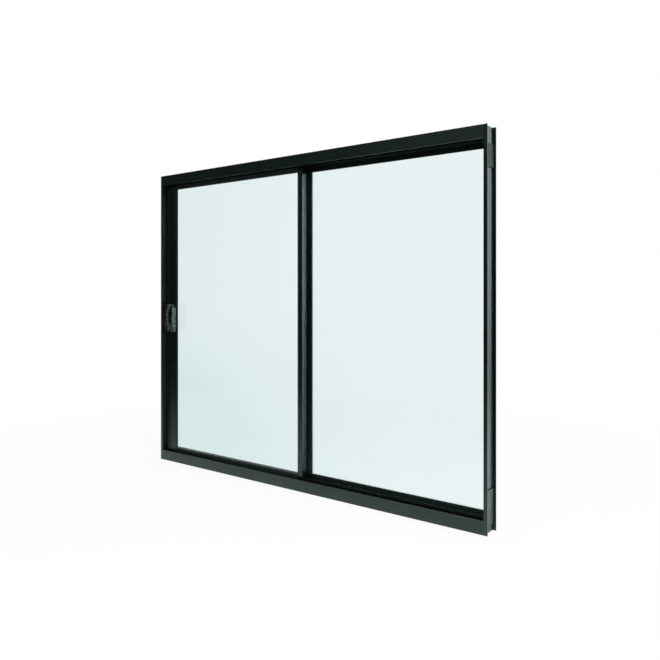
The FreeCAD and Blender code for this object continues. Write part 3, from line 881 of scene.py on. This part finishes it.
@dataclass
class OuterFrame:
    """Head, sill and jambs, with their brushes, seals, corner screws and fixing pads."""

    web: float = 0.002
    screw_levels: tuple[float, ...] = (0.012, 0.036)
    screw_depths: tuple[float, ...] = (0.020, 0.064)
    keeper_screw_inset: float = 0.014
    keeper_head: PanHead = PanHead(radius=0.0034, height=0.0012, slot_depth=0.0009,
                                   slot_reach=0.0019, slot_half=0.0005)

    def build(self) -> None:
        """Dress the frame's parts and add what the solids leave out."""
        dress(["frame_head", "frame_sill"], FINISHES.level_coat)
        dress(["left_jamb", "right_jamb"], FINISHES.upright_coat)
        dress(["lower_jamb_seal", "upper_jamb_seal", "sash_buffer"], FINISHES.rubber)
        dress([side + level + "_fixing_pad" for side in ("left_", "right_")
               for level in ("lower", "upper")], FINISHES.black_nylon)
        dress(["head_guide_rail"], FINISHES.black_nylon)
        dress(["jamb_keeper"], FINISHES.zinc)
        for node in ("sill_pile", "head_pile"):
            BrushStrip().build(node.replace("pile", "brush"), node, Body.FRAME)
        self.corner_screws("left", -1.0)
        self.corner_screws("right", 1.0)
        self.keeper_screws()

    def corner_screws(self, side: str, outward: float) -> None:
        """Set the screws that draw a jamb onto the head and the sill.

        Args:
            side: The jamb's side.
            outward: The way out of the window along X.
        """
        sill_low, sill_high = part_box("frame_sill")
        face = (sill_low.x if outward < 0 else sill_high.x) + outward * self.web
        jamb_low, jamb_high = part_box(side + "_jamb")
        levels = [*self.screw_levels, *(jamb_high.z - level for level in self.screw_levels)]
        places = [(face, jamb_low.y + depth, level)
                  for depth in self.screw_depths for level in levels]
        ScrewRow(side + "_jamb_corner_screws", PanHead(), (outward, 0.0, 0.0), FINISHES.screw,
                 Body.FRAME).build(places)

    def keeper_screws(self) -> None:
        """Set the two screws of the keeper plate."""
        low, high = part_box("jamb_keeper")
        middle = (low.y + high.y) / 2
        places = [(high.x, middle, low.z + self.keeper_screw_inset),
                  (high.x, middle, high.z - self.keeper_screw_inset)]
        ScrewRow("keeper_screws", self.keeper_head, (1.0, 0.0, 0.0), FINISHES.zinc,
                 Body.FRAME).build(places)


@dataclass
class FixedLite:
    """The fixed glass with its mullion, beads, gasket, tape and blocks."""

    def build(self) -> None:
        """Dress the lite's parts and give its glass a rounded gasket."""
        dress(["fixed_mullion", "fixed_jamb_bead"], FINISHES.upright_coat)
        dress(["fixed_bottom_bead", "fixed_top_bead"], FINISHES.level_coat)
        dress(["fixed_glass"], FINISHES.glass)
        dress(["fixed_rear_tape"], FINISHES.rubber)
        dress(["left_setting_block", "right_setting_block"], FINISHES.black_nylon)
        GasketLip().build("fixed_room_gasket", self.bare_glass(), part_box("fixed_glass")[0].y, -1.0,
                          Body.FRAME, "fixed_front_gasket")

    def bare_glass(self) -> Opening:
        """Give the glass that the beads and the mullion leave bare."""
        return Opening(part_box("fixed_mullion")[1].x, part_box("fixed_jamb_bead")[0].x,
                       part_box("fixed_bottom_bead")[1].z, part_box("fixed_top_bead")[0].z)


@dataclass
class SlidingSash:
    """The sash with its glass, gaskets, rollers and guides."""

    screw_inset: float = 0.026
    screw_head: PanHead = PanHead(radius=0.0038, height=0.0007, slot_depth=0.0006,
                                  slot_reach=0.0022, slot_half=0.0005)

    def build(self) -> None:
        """Dress the sash's parts and add its gaskets and corner screws."""
        dress(["sash_bottom_rail", "sash_top_rail"], FINISHES.level_coat)
        dress(["sash_lock_stile", "sash_meeting_stile"], FINISHES.upright_coat)
        dress(["sash_glass"], FINISHES.glass)
        dress(["sash_left_setting_block", "sash_right_setting_block", "left_top_guide",
               "right_top_guide"], FINISHES.black_nylon)
        dress(["left_roller", "right_roller"], FINISHES.white_nylon)
        dress(["left_roller_bracket", "right_roller_bracket"], FINISHES.zinc)
        low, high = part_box("sash_glass")
        for name, face, facing, node in (("sash_room_gasket", low.y, -1.0, "sash_front_gasket"),
                                         ("sash_outer_gasket", high.y, 1.0, "sash_rear_gasket")):
            GasketLip().build(name, self.bare_glass(), face, facing, Body.SASH, node)
        self.corner_screws()

    def bare_glass(self) -> Opening:
        """Give the glass that the stiles and rails leave bare."""
        return Opening(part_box("sash_lock_stile")[1].x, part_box("sash_meeting_stile")[0].x,
                       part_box("sash_bottom_rail")[1].z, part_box("sash_top_rail")[0].z)

    def corner_screws(self) -> None:
        """Set the screws that draw each stile onto the rails, with flat heads on its edge."""
        middle = sum(corner.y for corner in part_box("sash_glass")) / 2
        for node, outward in (("sash_lock_stile", -1.0), ("sash_meeting_stile", 1.0)):
            low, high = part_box(node)
            edge = low.x if outward < 0 else high.x
            places = [(edge, middle, low.z + self.screw_inset),
                      (edge, middle, high.z - self.screw_inset)]
            ScrewRow(node + "_screws", self.screw_head, (outward, 0.0, 0.0), FINISHES.screw,
                     Body.SASH).build(places)


@dataclass
class Latch:
    """The latch's housing and its curved lever."""

    def build(self) -> None:
        """Dress the latch."""
        dress(["latch_housing"], FINISHES.housing_paint)
        dress(["latch_lever"], FINISHES.lever_paint)


@dataclass
class Floor:
    """Pale floor, white to the camera and through glass, with a faint shadow near the window.

    Gloss shows it at a level of its own. That rises along Y from in front of the window to its
    foot and holds behind it, where a flare on the right is added. Far out it goes to 1 behind
    the window, as the surroundings do, and to 0 in front.
    """

    half: float = 5.0
    drop: float = 0.0005
    colour: Colour = (0.86, 0.86, 0.86)
    flecks: Noise = Noise(40.0, 3.0)
    fleck_share: float = 0.98
    glow: Ramp = Ramp(0.85, 1.0, start=1.2, end=2.6)
    before: Ramp = Ramp(0.0, 1.3, start=-1.8, end=0.0)
    behind: Ramp = Ramp(0.0, 2.4, start=0.0, end=0.1)
    flare: Ramp = Ramp(0.0, 1.0, start=0.2, end=1.2)
    rim: Ramp = Ramp(0.0, 1.0, start=2.5, end=4.8)

    def build(self) -> None:
        """Lay the floor just under the window's foot."""
        half = self.half
        corners = [(-half, -half, 0), (half, -half, 0), (half, half, 0), (-half, half, 0)]
        mesh = bpy.data.meshes.new("floor")
        mesh.from_pydata(corners, [], [(0, 1, 2, 3)])
        graph = ShaderGraph(bpy.data.materials.new("pale_floor"))
        mesh.materials.append(graph.shown(self.shader(graph)))
        floor = bpy.data.objects.new("floor", mesh)
        floor.location.z = -self.drop
        bpy.context.scene.collection.objects.link(floor)

    def shader(self, graph: ShaderGraph) -> Socket:
        """Mix flecked matt paint, which takes the shadow, with a glow whose level gloss changes."""
        flecked = tuple(self.fleck_share * part for part in self.colour)
        paint = graph.blend(graph.noise(self.flecks), self.colour, flecked)
        matt = graph.node("ShaderNodeBsdfDiffuse", {"Color": paint}).outputs["BSDF"]
        place = graph.place()
        axes = graph.axes(place)
        length = graph.node("ShaderNodeVectorMath", {0: place}, operation="LENGTH").outputs["Value"]
        flare = graph.math("MULTIPLY", graph.ramp(axes["Y"], self.behind),
                           graph.ramp(axes["X"], self.flare))
        near = graph.math("ADD", graph.ramp(axes["Y"], self.before), flare)
        far = graph.math("GREATER_THAN", axes["Y"], 0.0)
        gloss = graph.mirrored(axes["Y"])
        level = graph.choose(gloss, 1.0, graph.choose(graph.ramp(length, self.rim), near, far))
        glow = graph.node("ShaderNodeEmission", {"Color": opaque(WHITE), "Strength": level})
        shown = graph.math("MAXIMUM", graph.seen_directly(), graph.path()["Is Glossy Ray"])
        share = graph.math("MAXIMUM", gloss,
                           graph.math("MULTIPLY", shown, graph.ramp(length, self.glow)))
        return graph.mix_shaders(share, matt, glow.outputs["Emission"])


@dataclass
class Surroundings:
    """White surroundings that light plainly, and that gloss shows as a dark room with few lights.

    In gloss, the outside is white where it is low or on the right, a ceiling glows high up and
    less at the left, a wall glows at the far left, and a softbox stands outside on the right.
    Each ramp reads X, Y or Z of a ray's way, as its name says, except the one called softbox,
    which reads how near that way comes to the softbox's.
    """

    fill_level: float = 0.75
    room_level: float = 0.02
    outside_y: Ramp = Ramp(0.0, 1.0, start=0.1, end=0.5)
    outside_x: Ramp = Ramp(0.05, 1.0, start=-0.2, end=0.3)
    outside_z: Ramp = Ramp(1.0, 0.0, start=0.04, end=0.22)
    ceiling_z: Ramp = Ramp(0.0, 1.3, start=0.2, end=0.55)
    ceiling_x: Ramp = Ramp(0.1, 1.0, start=-0.62, end=-0.38)
    left_wall_x: Ramp = Ramp(0.5, 0.0, start=-0.97, end=-0.87)
    softbox_way: Point = (0.93, 0.36, 0.05)
    softbox: Ramp = Ramp(0.0, 7.5, start=0.80, end=0.90)
    softbox_y: Ramp = Ramp(0.0, 1.0, start=0.0, end=0.12)
    softbox_z: Ramp = Ramp(0.0, 1.0, start=-0.14, end=-0.04)

    def build(self) -> None:
        """Make the world: white to see, plain to light with, and its lights in gloss."""
        graph = ShaderGraph(bpy.data.worlds.new("surroundings"))
        way = graph.node("ShaderNodeTexCoord").outputs["Generated"]
        level = graph.choose(graph.seen_directly(), self.fill_level, 1.0)
        level = graph.choose(graph.mirrored(graph.axes(way)["Y"]), level, self.gloss(graph, way))
        shown = graph.node("ShaderNodeBackground", {"Color": opaque(WHITE), "Strength": level})
        bpy.context.scene.world = graph.shown(shown.outputs["Background"])

    def gloss(self, graph: ShaderGraph, way: Socket) -> Socket:
        """Work out the level that gloss shows.

        Args:
            graph: The world's graph.
            way: The ray's way, one unit long.

        Returns:
            The highest of the outside's, the room's, the left wall's and the softbox's levels.
        """
        axes = graph.axes(way)
        skyline = graph.math("MAXIMUM", graph.ramp(axes["X"], self.outside_x),
                             graph.ramp(axes["Z"], self.outside_z))
        outside = graph.math("MULTIPLY", graph.ramp(axes["Y"], self.outside_y), skyline)
        ceiling = graph.math("MULTIPLY", graph.ramp(axes["Z"], self.ceiling_z),
                             graph.ramp(axes["X"], self.ceiling_x))
        room = graph.math("MAXIMUM", graph.math("ADD", ceiling, self.room_level),
                          graph.ramp(axes["X"], self.left_wall_x))
        softbox = graph.ramp(graph.dot(way, self.softbox_way), self.softbox)
        softbox = graph.math("MULTIPLY", softbox, graph.ramp(axes["Y"], self.softbox_y))
        softbox = graph.math("MULTIPLY", softbox, graph.ramp(axes["Z"], self.softbox_z))
        return graph.math("MAXIMUM", graph.math("MAXIMUM", outside, room), softbox)


@dataclass
class Studio:
    """Floor, surroundings, one soft lamp and the camera of the photograph."""

    camera_place: Point = (1.9247, -2.2611, 0.8662)
    camera_turn: float = 37.77
    lens: float = 36.79
    shift_down: float = 0.0586
    lamp_place: Point = (3.0, -2.4, 3.4)
    lamp_aim: Point = (0.0, 0.0, 0.7)
    lamp_size: float = 2.4
    lamp_power: float = 150.0

    def build(self) -> None:
        """Make the floor, the world, the lamp and the camera, and set how colours are shown."""
        Floor().build()
        Surroundings().build()
        self.key_lamp()
        self.camera()
        bpy.context.scene.view_settings.view_transform = "Standard"

    def key_lamp(self) -> None:
        """Hang one large soft lamp over the viewer's right; gloss and the camera don't show it."""
        data = bpy.data.lights.new("key_lamp", "AREA")
        data.shape = "SQUARE"
        data.size = self.lamp_size
        data.energy = self.lamp_power
        lamp = bpy.data.objects.new("key_lamp", data)
        lamp.location = self.lamp_place
        along, out, up = np.array(self.lamp_aim) - np.array(self.lamp_place)
        tilt = math.atan2(math.hypot(along, out), -up)
        lamp.rotation_euler = (tilt, 0.0, math.atan2(out, along) - math.pi / 2)
        lamp.visible_camera = False
        lamp.visible_glossy = False
        bpy.context.scene.collection.objects.link(lamp)

    def camera(self) -> None:
        """Set the camera level, turned towards the window, with its view shifted down."""
        data = bpy.data.cameras.new("camera")
        data.lens = self.lens
        data.shift_y = -self.shift_down
        camera = bpy.data.objects.new("camera", data)
        camera.location = self.camera_place
        camera.rotation_euler = (math.radians(90.0), 0.0, math.radians(self.camera_turn))
        bpy.context.scene.collection.objects.link(camera)
        bpy.context.scene.camera = camera


def main() -> None:
    """Build the studio and every sub-assembly in order, and log each as it is built."""
    logging.basicConfig(level=logging.INFO, format="%(name)s: %(message)s", stream=sys.stdout)
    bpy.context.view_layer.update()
    for part in (Studio(), OuterFrame(), FixedLite(), SlidingSash(), Latch()):
        part.build()
        log.info("%s is built", type(part).__name__)


if __name__ == "__main__":
    main()
